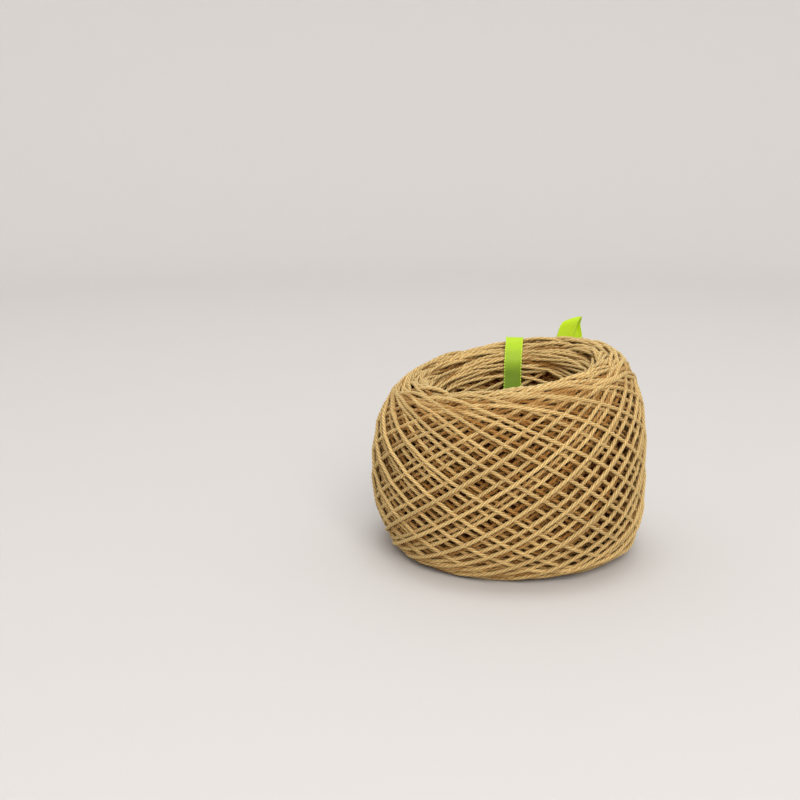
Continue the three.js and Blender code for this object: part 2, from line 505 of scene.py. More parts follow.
def colour(red: float, green: float, blue: float) -> Colour:
    """Turns screen colour values from 0 to 1 into a shader colour.

    Args:
        red: The red value.
        green: The green value.
        blue: The blue value.

    Returns:
        The colour, fully opaque.
    """
    screen = np.array([red, green, blue])
    linear = np.where(screen <= 0.04045, screen / 12.92, ((screen + 0.055) / 1.055) ** 2.4)
    return (*linear.tolist(), 1.0)


@dataclass
class Skin:
    """Vertices and faces gathered for one mesh, with a value per vertex under each name."""

    vertices: list[np.ndarray] = field(default_factory=list)
    faces: list[np.ndarray] = field(default_factory=list)
    values: dict[str, list[np.ndarray]] = field(default_factory=dict)
    count: int = 0
    triangles: int = 0

    def add(self, vertices: np.ndarray, faces: list[np.ndarray], values: dict[str, np.ndarray]) -> None:
        """Adds a closed surface.

        Args:
            vertices: Its vertices in millimetres.
            faces: Arrays of its faces, each array's faces with the same number of corners.
            values: Its values, one a vertex.
        """
        self.vertices.append(vertices)
        for group in faces:
            self.faces.append(group + self.count)
            self.triangles += len(group) * (group.shape[1] - 2)
        for name, value in values.items():
            self.values.setdefault(name, []).append(value)
        self.count += len(vertices)

    def make(self, name: str, material: bpy.types.Material) -> bpy.types.Object:
        """Makes the mesh and its object.

        Args:
            name: The object's name.
            material: Its material.

        Returns:
            The object, at the origin.
        """
        mesh = bpy.data.meshes.new(name)
        faces = [face for group in self.faces for face in group.tolist()]
        mesh.from_pydata((np.vstack(self.vertices) * MM).tolist(), [], faces, shade_flat=False)
        for value_name, parts in self.values.items():
            attribute = mesh.attributes.new(value_name, "FLOAT", "POINT")
            attribute.data.foreach_set("value", np.concatenate(parts).astype(np.float32))
        mesh.materials.append(material)
        made = bpy.data.objects.new(name, mesh)
        bpy.context.scene.collection.objects.link(made)
        log.info("%s: %d triangles", name, self.triangles)
        return made


@dataclass(frozen=True)
class CordShape:
    """The skin of a plied cord: the corners of one round, as shares of its radius, and its lay."""

    corners: tuple[float, ...]
    step: float
    radius: float = 0.75
    lay: float = 9.0


@dataclass
class Run:
    """A visible length of strand: its middle line, the ball's outward direction there, and values.

    tone is how pale the yarn is, from -1 to 1, and deep is its depth in the winding, from 0 to 1, which
    sets how much painted shade it gets.
    """

    middle: np.ndarray
    outward: np.ndarray
    tone: np.ndarray
    deep: np.ndarray

    def smoothed(self) -> "Run":
        """Eases out the small kinks in the middle line.

        Returns:
            The same run with its eased line.
        """
        kernel = np.array([1.0, 2.0, 3.0, 2.0, 1.0]) / 9
        padded = np.pad(self.middle, ((2, 2), (0, 0)), mode="edge")
        middle = np.stack([np.convolve(c, kernel, mode="valid") for c in padded.T], axis=1)
        return Run(middle, self.outward, self.tone, self.deep)

    def resampled(self, step: float) -> "Run":
        """Spaces the points evenly.

        Args:
            step: The length between two points.

        Returns:
            The same run with its new points.
        """
        length = lengths(self.middle)
        wanted = np.linspace(0.0, length[-1], max(3, round(length[-1] / step) + 1))
        middle = looked_up(wanted, length, self.middle)
        outward = looked_up(wanted, length, self.outward)
        tone, deep = np.interp(wanted, length, self.tone), np.interp(wanted, length, self.deep)
        return Run(middle, outward, tone, deep)


def skin_quads(rounds: int, sides: int, closed: bool = True, wrapped: bool = True) -> np.ndarray:
    """Lists the faces between a skin's rounds of vertices.

    Args:
        rounds: How many rounds there are.
        sides: How many vertices each round has.
        closed: Whether the last round joins the first.
        wrapped: Whether the last vertex of each round joins its first.

    Returns:
        The faces with four corners, one a row.
    """
    k = np.arange(rounds if closed else rounds - 1)[:, None]
    j = np.arange(sides if wrapped else sides - 1)[None, :]
    after, beside = (k + 1) % rounds, (j + 1) % sides
    corners = (k * sides + j, after * sides + j, after * sides + beside, k * sides + beside)
    return np.stack(corners, axis=-1).reshape(-1, 4)


def cord_skin(skin: Skin, run: Run, shape: CordShape, thickness: np.ndarray) -> None:
    """Adds a plied cord's closed skin round a run.

    Args:
        skin: The skin to add to.
        run: The evenly spaced run.
        shape: The cord's shape.
        thickness: The cord's thickness at each point, as a share of the shape's.
    """
    sides = len(shape.corners)
    rounds = len(run.middle)
    tangent = unit(np.gradient(run.middle, axis=0))
    side = unit(np.cross(tangent, run.outward))
    up = np.cross(side, tangent)
    k = np.arange(rounds)[:, None]
    j = np.arange(sides)[None, :]
    angle = (j / sides + k * shape.step / shape.lay) * TURN
    radius = shape.radius * thickness[:, None] * np.array(shape.corners)[None, :]
    wide, high = np.cos(angle) * radius, np.sin(angle) * radius
    ring = wide[..., None] * side[:, None] + high[..., None] * up[:, None]
    vertices = (run.middle[:, None] + ring).reshape(-1, 3)
    first = (k[:-1] * sides + j).ravel()
    second = (k[:-1] * sides + (j + 1) % sides).ravel()
    quads = np.stack([first, second, second + sides, first + sides], axis=1)
    caps = np.stack([np.arange(sides)[::-1], np.arange(sides) + (rounds - 1) * sides])
    # ply is 1 on the plies' crests and 0 in the grooves between them, where the cotton's colour takes
    # painted shade
    low = min(shape.corners)
    ply = np.tile((np.array(shape.corners) - low) / (1 - low), rounds)
    skin.add(vertices, [quads, caps], {
        "ply": ply,
        "tone": np.repeat(run.tone, sides),
        "deep": np.repeat(run.deep, sides),
    })


@dataclass
class WoundYarn:
    """The winding, laid strand by strand, over a core that stands for the hidden turns, painted dark as
    their shade.
    """

    ring: RingSection
    winder: Winder
    fine: CordShape = CordShape((1.0, 0.82) * 4, step=0.8)
    coarse: CordShape = CordShape((1.0, 0.85) * 3, step=1.25)
    fine_yarn: float = 15000.0
    shortest_run: int = 3
    most_triangles: int = 185000
    last_turns: float = 0.93
    crest_bands: int = 13
    crest_percentile: float = 88.0
    crest_degree: int = 4
    outer_depth: float = 7.0
    top_depth: float = 6.0
    hollow_depth: float = 6.2
    low_depth: float = 3.5
    seen_margin: int = 7
    deep_from: float = 2.2
    deep_smoothing: int = 5
    cover_rows: int = 720
    cover_columns: int = 120
    cover_reach: int = 3
    bite: float = 0.5
    bite_reach: float = 3.6
    tucked_points: int = 24
    tuck: float = 4.0
    outward_share: float = 0.02
    tone_length: float = 160.0
    unevenness: float = 0.04
    uneven_points: int = 12
    core_cover: float = 0.6
    core_rows: int = 30
    core_columns: int = 6
    seed: int = 5

    def lay(self) -> None:
        """Winds the yarn and fits it inside the CAD shape."""
        self.random = np.random.default_rng(self.seed)
        yarn = self.winder.wind()
        thick = self.ring.thickness(yarn.along)
        yarn.share = self._fitted(yarn, thick)
        section = self.ring.meridian(yarn.share, yarn.along)
        further = self.ring.meridian(yarn.share + self.outward_share, yarn.along)
        section[:, 1] = np.maximum(section[:, 1], self.fine.radius)
        self.middle = self.ring.place(yarn.angle, section[:, 0], section[:, 1])
        self.outward = unit(self.ring.place(yarn.angle, further[:, 0], further[:, 1]) - self.middle)
        length = lengths(self.middle)
        self.from_end = length[-1] - length
        knots = self.random.uniform(-1, 1, int(length[-1] / self.tone_length) + 2)
        self.tone = np.interp(length, np.arange(len(knots)) * self.tone_length, knots)
        self._look_for_seen(yarn, thick)
        near = np.diff(length)[self.seen[1:]].sum()
        log.info("%.1f m of yarn wound, %.1f m near the surface", length[-1] * MM, near * MM)

    def _fitted(self, yarn: Strand, thick: np.ndarray) -> np.ndarray:
        """Fits the winding to the CAD shape, pressed in beneath the tie, and tucks its end in.

        Args:
            yarn: The yarn as it was wound.
            thick: The ring's thickness at each of its points.

        Returns:
            Each point's share.
        """
        share = yarn.share / self._crest(yarn)(yarn.along) * (1 - self.fine.radius / thick)
        turned = (yarn.angle - TIE_ANGLE + math.pi) % TURN - math.pi
        r = self.ring.meridian(share, yarn.along)[:, 0]
        near_tie = np.exp(-((turned * r / self.bite_reach) ** 4))
        share -= self.bite / thick * near_tie * np.clip(share * 2 - 1, 0, 1)
        end = slice(-self.tucked_points, None)
        share[end] -= np.linspace(0, self.tuck, self.tucked_points) / thick[end]
        return share

    def _crest(self, yarn: Strand) -> np.polynomial.Polynomial:
        """Finds the share that the highest strands of the last turns reach, for each height.

        Args:
            yarn: The yarn as it was wound.

        Returns:
            The share as a function of the height.
        """
        last = yarn.part(slice(int(len(yarn.share) * self.last_turns), None))
        edges = np.linspace(-1, 1, self.crest_bands + 1)
        middles, crests = [], []
        for low, high in zip(edges, edges[1:]):
            here = (last.along >= low) & (last.along < high)
            middles.append((low + high) / 2)
            crests.append(np.percentile(last.share[here], self.crest_percentile))
        return np.polynomial.Polynomial.fit(middles, crests, self.crest_degree, domain=[-1, 1])

    def _look_for_seen(self, yarn: Strand, thick: np.ndarray) -> None:
        """Finds which points are near enough to the surface to be seen, and how deep each is.

        Args:
            yarn: The yarn, fitted to the CAD shape.
            thick: The ring's thickness at each of its points.
        """
        half = self.winder.half_length
        outer, hollow = (1 - yarn.share) * thick, yarn.share * thick
        top, low = (1 - yarn.along) * half, (1 + yarn.along) * half
        seen = (outer < self.outer_depth) | (top < self.top_depth) | (hollow < self.hollow_depth)
        seen |= low < self.low_depth
        self.seen = np.convolve(seen, np.ones(self.seen_margin), mode="same") > 0
        under_outer = self._covered(yarn.angle, (yarn.along + 1) / 2, hollow)
        under_top = self._covered(yarn.angle, yarn.share, low)
        # This depth, under nearby strands, in from the hollow's wall or from the underside, sets the
        # strands' painted shade
        depth = np.min([under_outer, under_top, hollow - self.fine.radius, low], axis=0)
        kernel = np.ones(self.deep_smoothing) / self.deep_smoothing
        self.deep = np.convolve(np.clip(depth / self.deep_from, 0, 1), kernel, mode="same")

    def _covered(self, angle: np.ndarray, across: np.ndarray, height: np.ndarray) -> np.ndarray:
        """Finds how far each point is below the highest strand near it.

        Args:
            angle: The points' directions round the axis.
            across: The points' places from one end of the surface to the other, 0 to 1.
            height: Their heights over it, in millimetres.

        Returns:
            The depths in millimetres.
        """
        rows = np.floor(angle / TURN * self.cover_rows).astype(int) % self.cover_rows
        columns = np.floor(across * self.cover_columns).clip(0, self.cover_columns - 1).astype(int)
        highest = np.full((self.cover_rows, self.cover_columns), -np.inf)
        np.maximum.at(highest, (rows, columns), height)
        near = range(-self.cover_reach, self.cover_reach + 1)
        for axis in (0, 1):
            highest = np.max([np.roll(highest, step, axis) for step in near], axis=0)
        return highest[rows, columns] - height

    def runs(self) -> list[tuple[slice, CordShape]]:
        """Finds the visible lengths of strand and the shape that each is made with.

        Returns:
            The points of each length, and its cord's shape.
        """
        edges = np.flatnonzero(np.diff(np.concatenate([[0], self.seen.astype(int), [0]])))
        found = []
        change = int(np.argmax(self.from_end < self.fine_yarn))
        for start, end in zip(edges[::2], edges[1::2]):
            if start < change < end:
                found.append((slice(start, change + 1), self.coarse))
                start = change
            if end - start > self.shortest_run:
                found.append((slice(start, end), self.fine if start >= change else self.coarse))
        return found

    def build(self, material: bpy.types.Material, core: bpy.types.Material) -> None:
        """Makes the strands and the core.

        Args:
            material: The yarn's material.
            core: The core's material.
        """
        skins = [Skin()]
        for which, shape in self.runs():
            run = Run(self.middle[which], self.outward[which], self.tone[which], self.deep[which])
            run = run.smoothed().resampled(shape.step)
            count = len(run.middle)
            if skins[-1].triangles + count * len(shape.corners) * 2 > self.most_triangles:
                skins.append(Skin())
            knots = np.arange(0, count + self.uneven_points, self.uneven_points)
            uneven = self.random.normal(1.0, self.unevenness, len(knots))
            cord_skin(skins[-1], run, shape, np.interp(np.arange(count), knots, uneven))
        for number, skin in enumerate(skins, 1):
            declare(skin.make(f"yarn_turns_{number:02d}", material), Node.YARN)
        declare(self._core(core), Node.YARN)

    def _core(self, material: bpy.types.Material) -> bpy.types.Object:
        """Makes the closed ring beneath the visible strands.

        Args:
            material: The core's material.

        Returns:
            The object.
        """
        half, cover = self.winder.half_length, self.core_cover
        low, high = -1 + self.low_depth / half, 1 - (self.top_depth - cover) / half
        up = np.linspace(low, high, self.core_rows)
        thick = self.ring.thickness(up)
        out, into = 1 - (self.outer_depth - cover) / thick, (self.hollow_depth - cover) / thick
        across = np.linspace(0, 1, self.core_columns + 2)[1:-1]
        over, under = out[-1] + (into[-1] - out[-1]) * across, into[0] + (out[0] - into[0]) * across
        share = np.concatenate([out, over, into[::-1], under])
        flat = np.ones(self.core_columns)
        along = np.concatenate([up, high * flat, up[::-1], low * flat])
        return sweep_round(self.ring, self.ring.meridian(share, along), "yarn_core", material)


def sweep_round(
    ring: RingSection, section: np.ndarray, name: str, material: bpy.types.Material
) -> bpy.types.Object:
    """Sweeps a closed section round the axis.

    Args:
        ring: The ring, for its rise.
        section: The section's radii and heights.
        name: The object's name.
        material: Its material.

    Returns:
        The object.
    """
    steps = 144
    angle = np.linspace(0, TURN, steps, endpoint=False)[:, None]
    angle, r, z = np.broadcast_arrays(angle, section[:, 0], section[:, 1])
    skin = Skin()
    skin.add(ring.place(angle, r, z).reshape(-1, 3), [skin_quads(steps, len(section))], {})
    return skin.make(name, material)


def declare(piece: bpy.types.Object, node: Node) -> None:
    """Attaches a piece to the root and hides the CAD part whose place it takes.

    Args:
        piece: The piece.
        node: The CAD node whose place it takes.
    """
    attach(piece, "root")
    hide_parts(node.value)


@dataclass(frozen=True)
class RibbonShape:
    """A ribbon's cross-section: its thickness, its scalloped selvages and how far its edges curl."""

    thickness: float = 0.3
    selvage_width: float = 0.5
    selvage_thickness: float = 0.5
    edge_share: float = 0.45
    scallop: float = 0.09
    scallop_length: float = 1.2
    curl: float = 0.0
    columns: int = 15
    step: float = 0.4


@dataclass
class RibbonLine:
    """A ribbon's route: its evenly spaced middle line, the direction of its width, and its width.

    deep is how far it is in the hollow's shade, from 0 to 1.
    """

    middle: np.ndarray
    across: np.ndarray
    width: np.ndarray
    deep: np.ndarray
    closed: bool

    def faces_along(self, columns: int) -> list[np.ndarray]:
        """Lists the skin's faces.

        Args:
            columns: How many vertices lie across the ribbon, on its face and on its back.

        Returns:
            Arrays of faces, each array's faces with the same number of corners.
        """
        rounds, sides = len(self.middle), 2 * columns
        faces = [skin_quads(rounds, sides, self.closed)]
        if not self.closed:
            top = np.arange(columns - 1)
            under = sides - 1 - top
            cap = np.stack([top, top + 1, under - 1, under], axis=1)
            faces += [cap, cap[:, ::-1] + (rounds - 1) * sides]
        return faces


def ribbon_skin(skin: Skin, line: RibbonLine, shape: RibbonShape) -> None:
    """Adds a length of ribbon.

    Args:
        skin: The skin to add to.
        line: The ribbon's route.
        shape: Its cross-section.
    """
    if line.closed:
        tangent = np.roll(line.middle, -1, axis=0) - np.roll(line.middle, 1, axis=0)
    else:
        tangent = np.gradient(line.middle, axis=0)
    face = unit(np.cross(tangent, line.across))
    place = np.sin(np.linspace(-math.pi / 2, math.pi / 2, shape.columns))
    from_edge = (1 - np.abs(place)) * line.width[:, None] / 2
    edge = np.exp(-((from_edge / shape.selvage_width) ** 2))
    half = shape.thickness / 2 + (shape.selvage_thickness - shape.thickness) / 2 * edge
    half[:, [0, -1]] *= shape.edge_share
    length = np.arange(len(line.middle)) * shape.step
    scallop = 1 + shape.scallop * np.sin(length / shape.scallop_length * TURN) / line.width * 2
    wide = place * (line.width / 2 * scallop)[:, None]
    curled = (shape.curl * place**2)[:, None] * face[:, None]
    base = line.middle[:, None] + wide[..., None] * line.across[:, None] + curled
    lift = half[..., None] * face[:, None]
    ring = np.concatenate([base + lift, (base - lift)[:, ::-1]], axis=1)
    both = np.concatenate([place, place[::-1]])
    skin.add(ring.reshape(-1, 3), line.faces_along(shape.columns), {
        "across": np.tile(both, len(length)),
        "length": np.repeat(length, 2 * shape.columns),
        "deep": np.repeat(line.deep, 2 * shape.columns),
    })


class KnotWrap(NamedTuple):
    """One loop of ribbon round the knot: its slant in radians, its share of the size, its width."""

    slant: float
    size: float
    width: float


@dataclass(frozen=True)
class Knot:
    """The knot's lump: its middle, its half sizes and how far it leans back over the shoulder."""

    r: float = 48.6
    z: float = 60.0
    along: float = 4.2
    across: float = 4.6
    out: float = 2.6
    lean: float = math.radians(32)
    curl: float = -0.7
    columns: int = 11
    points: int = 60
    wraps: tuple[KnotWrap, ...] = (
        KnotWrap(slant=1.15, size=0.84, width=6.2),
        KnotWrap(slant=-0.35, size=1.0, width=4.8),
    )


# The end that rises above the rim and is folded over at its top, from the knot
FOLDED_END = (
    RibbonStation(x=7.6, y=49.0, z=60.4, slope=-80),
    RibbonStation(x=13.5, y=49.2, z=61.4, slope=-76),
    RibbonStation(x=19.5, y=47.6, z=63.4, slope=-60),
    RibbonStation(x=23.9, y=45.3, z=66.6, slope=-34),
    RibbonStation(x=25.6, y=43.7, z=69.4, slope=-10, turn=5),
    RibbonStation(x=26.6, y=43.0, z=72.6, slope=4, turn=4),
    RibbonStation(x=27.6, y=42.8, z=75.8, slope=8, turn=1, width=7.0),
    RibbonStation(x=28.3, y=42.6, z=78.0, slope=11, turn=-3, width=7.2),
    RibbonStation(x=29.2, y=42.8, z=79.7, slope=15, turn=-6, width=7.4),
    RibbonStation(x=30.2, y=43.5, z=80.5, slope=17, turn=-9, width=6.6),
    RibbonStation(x=30.8, y=44.5, z=79.7, slope=14, turn=-7, width=5.7),
    RibbonStation(x=30.8, y=45.5, z=77.9, slope=12, turn=-3, width=5.2),
    RibbonStation(x=30.9, y=46.0, z=75.6, slope=8, turn=0, width=5.7),
    RibbonStation(x=31.1, y=46.2, z=73.1, slope=7, turn=1, width=6.4),
    RibbonStation(x=31.3, y=46.3, z=69.5, slope=6, turn=0, width=6.6),
)

# The other end, which hangs down the far side
HANGING_END = (
    RibbonStation(x=7.2, y=49.4, z=59.6, slope=12),
    RibbonStation(x=5.6, y=51.2, z=54.6, slope=16),
    RibbonStation(x=3.8, y=52.3, z=48.8, slope=14, turn=4),
    RibbonStation(x=2.4, y=52.2, z=43.0, slope=10, turn=-4),
)


@dataclass
class RibbonTie:
    """The satin ribbon tied round the ring, its knot and its two ends."""

    ring: RingSection
    width: float = 6.8
    shape: RibbonShape = RibbonShape()
    loose_shape: RibbonShape = RibbonShape(curl=0.35)
    knot: Knot = Knot()
    clearance: float = 0.15
    lowest: float = 0.45
    least_lift: float = -1.0
    nearest_radius: float = 10.0
    ridge_radius: float = 38.0
    shade_from: float = 76.0
    shade_over: float = 15.0
    window: int = 7
    loop_points: int = 500
    end_points: int = 400

    def __post_init__(self) -> None:
        """Sets the tie's plane."""
        self.radial = np.array([math.cos(TIE_ANGLE), math.sin(TIE_ANGLE), 0.0])
        self.sideways = np.array([-self.radial[1], self.radial[0], 0.0])
        self.up = np.array([0.0, 0.0, 1.0])

    def _loop(self, strands: np.ndarray, radius: float) -> np.ndarray:
        """Finds where the strap runs: round the section, over the strands beneath it.

        Args:
            strands: Points of the strands' middle lines.
            radius: The strands' radius.

        Returns:
            The strap's radii and heights, evenly spaced.
        """
        r, z = self.ring.loop.T
        risen = np.stack([r, z * self.ring.rise(np.array(TIE_ANGLE), r)], axis=1)
        loop = evenly(risen, self.loop_points)[:-1]
        forward = unit(np.roll(loop, -1, axis=0) - np.roll(loop, 1, axis=0))
        out = np.stack([forward[:, 1], -forward[:, 0]], axis=1)
        near = np.abs(strands @ self.sideways) < self.width / 2
        near &= strands @ self.radial > self.nearest_radius
        flat = np.stack([strands[near] @ self.radial, strands[near][:, 2]], axis=1)
        gap = flat[:, None] - loop[None]
        nearest = np.argmin((gap**2).sum(axis=2), axis=1)
        height = (gap[np.arange(len(flat)), nearest] * out[nearest]).sum(axis=1) + radius
        lift = np.full(len(loop), self.least_lift)
        np.maximum.at(lift, nearest, height)
        lift = np.max([np.roll(lift, s) for s in range(-self.window, self.window + 1)], axis=0)
        kernel = np.hanning(2 * self.window + 3)
        kernel /= kernel.sum()
        wrapped = np.concatenate([lift[-self.window - 1:], lift, lift[: self.window + 1]])
        lift = np.convolve(wrapped, kernel, mode="valid")
        moved = loop + out * (lift + self.clearance + self.shape.thickness / 2)[:, None]
        moved[:, 1] = np.maximum(moved[:, 1], self.lowest)
        return moved

    def _strap(self, skin: Skin, strands: np.ndarray, radius: float) -> None:
        """Adds the strap to a skin.

        Args:
            skin: The skin to add to.
            strands: Points of the strands' middle lines.
            radius: The strands' radius.
        """
        loop = self._loop(strands, radius)
        closed = np.vstack([loop, loop[:1]])
        line = evenly(closed, round(lengths(closed)[-1] / self.shape.step))[:-1]
        middle = line[:, :1] * self.radial + line[:, 1:] * self.up
        across = np.tile(self.sideways, (len(middle), 1))
        width = np.full(len(middle), self.width)
        # Painted shade: the strap darkens as it runs down into the hollow
        shade = np.clip((self.shade_from - line[:, 1]) / self.shade_over, 0, 1)
        deep = np.where(line[:, 0] < self.ridge_radius, shade, 0.0)
        ribbon_skin(skin, RibbonLine(middle, across, width, deep, True), self.shape)

    def _end(self, skin: Skin, stations: tuple[RibbonStation, ...]) -> None:
        """Adds one free end to a skin.

        Args:
            skin: The skin to add to.
            stations: The places that the end runs through.
        """
        rough = spline(np.array(stations), self.end_points)
        length = lengths(rough[:, :3])
        wanted = np.linspace(0, length[-1], round(length[-1] / self.shape.step))
        line = looked_up(wanted, length, rough)
        slope, turn = np.radians(line[:, 3]), np.radians(line[:, 4])
        level = np.cos(turn)
        across = np.stack([np.cos(slope) * level, np.sin(turn), np.sin(slope) * level], axis=1)
        route = RibbonLine(line[:, :3], across, line[:, 5], np.zeros(len(line)), False)
        ribbon_skin(skin, route, self.loose_shape)

    def _knot(self, skin: Skin) -> None:
        """Adds the knot: ribbon drawn round itself twice, crossing at a slant.

        Args:
            skin: The skin to add to.
        """
        knot = self.knot
        middle = knot.r * self.radial + knot.z * self.up
        out = math.cos(knot.lean) * self.radial + math.sin(knot.lean) * self.up
        along = math.cos(knot.lean) * self.up - math.sin(knot.lean) * self.radial
        theta = np.linspace(0, TURN, knot.points, endpoint=False)[:, None]
        for wrap in knot.wraps:
            upright, level = math.cos(wrap.slant) * along, math.sin(wrap.slant) * self.sideways
            far = upright * knot.along + level * knot.across
            line = middle + wrap.size * (np.cos(theta) * out * knot.out + np.sin(theta) * far)
            step = float(lengths(line)[-1]) / (knot.points - 1)
            shape = RibbonShape(step=step, curl=knot.curl, scallop=0.0, columns=knot.columns)
            across = np.tile(unit(np.cross(out, far)), (knot.points, 1))
            width = np.full(knot.points, wrap.width)
            route = RibbonLine(line, across, width, np.zeros(knot.points), True)
            ribbon_skin(skin, route, shape)

    def build(self, strands: np.ndarray, radius: float, material: bpy.types.Material) -> None:
        """Makes the ribbon's pieces.

        Args:
            strands: Points of the strands' middle lines.
            radius: The strands' radius.
            material: The ribbon's material.
        """
        strap, ends, knot = Skin(), Skin(), Skin()
        self._strap(strap, strands, radius)
        self._end(ends, FOLDED_END)
        self._end(ends, HANGING_END)
        self._knot(knot)
        for name, skin in (("ribbon_strap", strap), ("ribbon_ends", ends), ("ribbon_knot", knot)):
            declare(skin.make(name, material), Node.RIBBON)


class Graph:
    """A node tree with short ways to add and join its nodes."""

    def __init__(self, tree: bpy.types.NodeTree) -> None:
        """Starts from an existing tree."""
        self.tree = tree

    def add(self, kind: str, **settings: object) -> bpy.types.Node:
        """Adds a node.

        Args:
            kind: The node's type.
            settings: Its properties.

        Returns:
            The node.
        """
        node = self.tree.nodes.new(kind)
        for name, value in settings.items():
            setattr(node, name, value)
        return node

    def join(self, source: bpy.types.NodeSocket, target: bpy.types.NodeSocket) -> None:
        """Links an output to an input."""
        self.tree.links.new(source, target)

    def math(self, operation: str, *values: object) -> bpy.types.NodeSocket:
        """Adds a math node.

        Args:
            operation: What it works out.
            values: A number or an output for each input.

        Returns:
            Its result.
        """
        node = self.add("ShaderNodeMath", operation=operation)
        for i, value in enumerate(values):
            self.feed(value, node.inputs[i])
        return node.outputs[0]

    def mix(
        self, share: object, first: object, second: object, blend: str = "MIX"
    ) -> bpy.types.NodeSocket:
        """Mixes two colours.

        Args:
            share: The second colour's share.
            first: The first colour.
            second: The second colour.
            blend: How they are mixed.

        Returns:
            The mixed colour.
        """
        node = self.add("ShaderNodeMix", data_type="RGBA", blend_type=blend)
        self.feed(share, node.inputs[0])
        self.feed(first, node.inputs[6])
        self.feed(second, node.inputs[7])
        return node.outputs[2]

    def feed(self, value: object, target: bpy.types.NodeSocket) -> None:
        """Sets an input to a number or a colour, or links an output to it.

        Args:
            value: A number, a colour or an output.
            target: The input.
        """
        if isinstance(value, bpy.types.NodeSocket):
            self.join(value, target)
        else:
            target.default_value = value

    def attribute(self, name: str) -> bpy.types.NodeSocket:
        """Reads a mesh's value per vertex."""
        return self.add("ShaderNodeAttribute", attribute_name=name).outputs["Fac"]

    def scale(self, base: bpy.types.NodeSocket, light: bpy.types.NodeSocket) -> bpy.types.NodeSocket:
        """Lightens or darkens a colour.

        Args:
            base: The colour.
            light: How many times as light it becomes.

        Returns:
            The new colour.
        """
        node = self.add("ShaderNodeVectorMath", operation="SCALE")
        self.join(base, node.inputs[0])
        self.join(light, node.inputs["Scale"])
        return node.outputs[0]


def set_inputs(node: bpy.types.Node, values: dict[str, float | Colour]) -> None:
    """Sets some of a node's inputs, each by its name."""
    for name, value in values.items():
        node.inputs[name].default_value = value


def fibre_group() -> bpy.types.ShaderNodeTree:
    """Builds the group for fine fibres: a mask of light and dark, and their height as a normal.

    Returns:
        The group.
    """
    tree = bpy.data.node_groups.new("fibre_grain", "ShaderNodeTree")
    face = tree.interface
    for name in ("Scale", "Spread", "Depth"):
        face.new_socket(name, in_out="INPUT", socket_type="NodeSocketFloat")
    face.new_socket("Mask", in_out="OUTPUT", socket_type="NodeSocketFloat")
    face.new_socket("Normal", in_out="OUTPUT", socket_type="NodeSocketVector")
    graph = Graph(tree)
    given, result = graph.add("NodeGroupInput"), graph.add("NodeGroupOutput")
    place = graph.add("ShaderNodeTexCoord").outputs["Object"]
    noise = graph.add("ShaderNodeTexNoise")
    set_inputs(noise, {"Detail": 3.0})
    graph.join(place, noise.inputs["Vector"])
    graph.join(given.outputs["Scale"], noise.inputs["Scale"])
    centred = graph.math("SUBTRACT", noise.outputs["Fac"], 0.5)
    mask = graph.math("MULTIPLY_ADD", centred, given.outputs["Spread"], 1.0)
    graph.join(mask, result.inputs["Mask"])
    bump = graph.add("ShaderNodeBump")
    graph.join(given.outputs["Depth"], bump.inputs["Distance"])
    graph.join(noise.outputs["Fac"], bump.inputs["Height"])
    graph.join(bump.outputs["Normal"], result.inputs["Normal"])
    return tree


def new_material(name: str) -> tuple[bpy.types.Material, Graph, bpy.types.Node]:
    """Makes a material.

    Args:
        name: Its name.

    Returns:
        The material, its graph and its Principled shader.
    """
    material = bpy.data.materials.new(name)
    material.use_nodes = True
    graph = Graph(material.node_tree)
    graph.tree.nodes.clear()
    shader = graph.add("ShaderNodeBsdfPrincipled")
    graph.join(shader.outputs[0], graph.add("ShaderNodeOutputMaterial").inputs["Surface"])
    return material, graph, shader


@dataclass(frozen=True)
class Grain:
    """Fine fibres on a surface: their pitch, their contrast and their height in metres."""

    scale: float
    spread: float
    depth: float

    def add(self, graph: Graph, fibre: bpy.types.ShaderNodeTree) -> bpy.types.Node:
        """Adds the fibre grain group with these values.

        Args:
            graph: The material's graph.
            fibre: The group.

        Returns:
            The group's node.
        """
        node = graph.add("ShaderNodeGroup", node_tree=fibre)
        set_inputs(node, {"Scale": self.scale, "Spread": self.spread, "Depth": self.depth})
        return node


@dataclass(frozen=True)
class CottonFinish:
    """Soft plied cotton: paler on the plies, with painted shade in the grooves between them and on
    strands that lie deep.
    """

    ply: Colour = colour(0.90, 0.82, 0.59)
    groove_shade: Colour = colour(0.69, 0.50, 0.235)
    shade: Colour = colour(0.75, 0.62, 0.46)
    tone_spread: float = 0.12
    roughness: float = 0.9
    specular: float = 0.2
    sheen: float = 0.35
    sheen_roughness: float = 0.5
    grain: Grain = Grain(scale=1400.0, spread=0.7, depth=0.00012)

    def material(self, fibre: bpy.types.ShaderNodeTree) -> bpy.types.Material:
        """Makes the material.

        Args:
            fibre: The fibre grain group.

        Returns:
            The material.
        """
        made, graph, shader = new_material("cotton")
        grain = self.grain.add(graph, fibre)
        # Painted shade: the grooves between the plies take the darker groove colour
        plies = graph.mix(graph.attribute("ply"), self.groove_shade, self.ply)
        # Painted shade: strands that lie deep are darkened towards the shade colour
        shaded = graph.mix(1.0, plies, self.shade, "MULTIPLY")
        base = graph.mix(graph.attribute("deep"), plies, shaded)
        tone = graph.math("MULTIPLY_ADD", graph.attribute("tone"), self.tone_spread, 1.0)
        light = graph.math("MULTIPLY", tone, grain.outputs["Mask"])
        graph.join(graph.scale(base, light), shader.inputs["Base Color"])
        graph.join(grain.outputs["Normal"], shader.inputs["Normal"])
        set_inputs(shader, {
            "Roughness": self.roughness,
            "Specular IOR Level": self.specular,
            "Sheen Weight": self.sheen,
            "Sheen Roughness": self.sheen_roughness,
            "Sheen Tint": self.ply,
        })
        return made


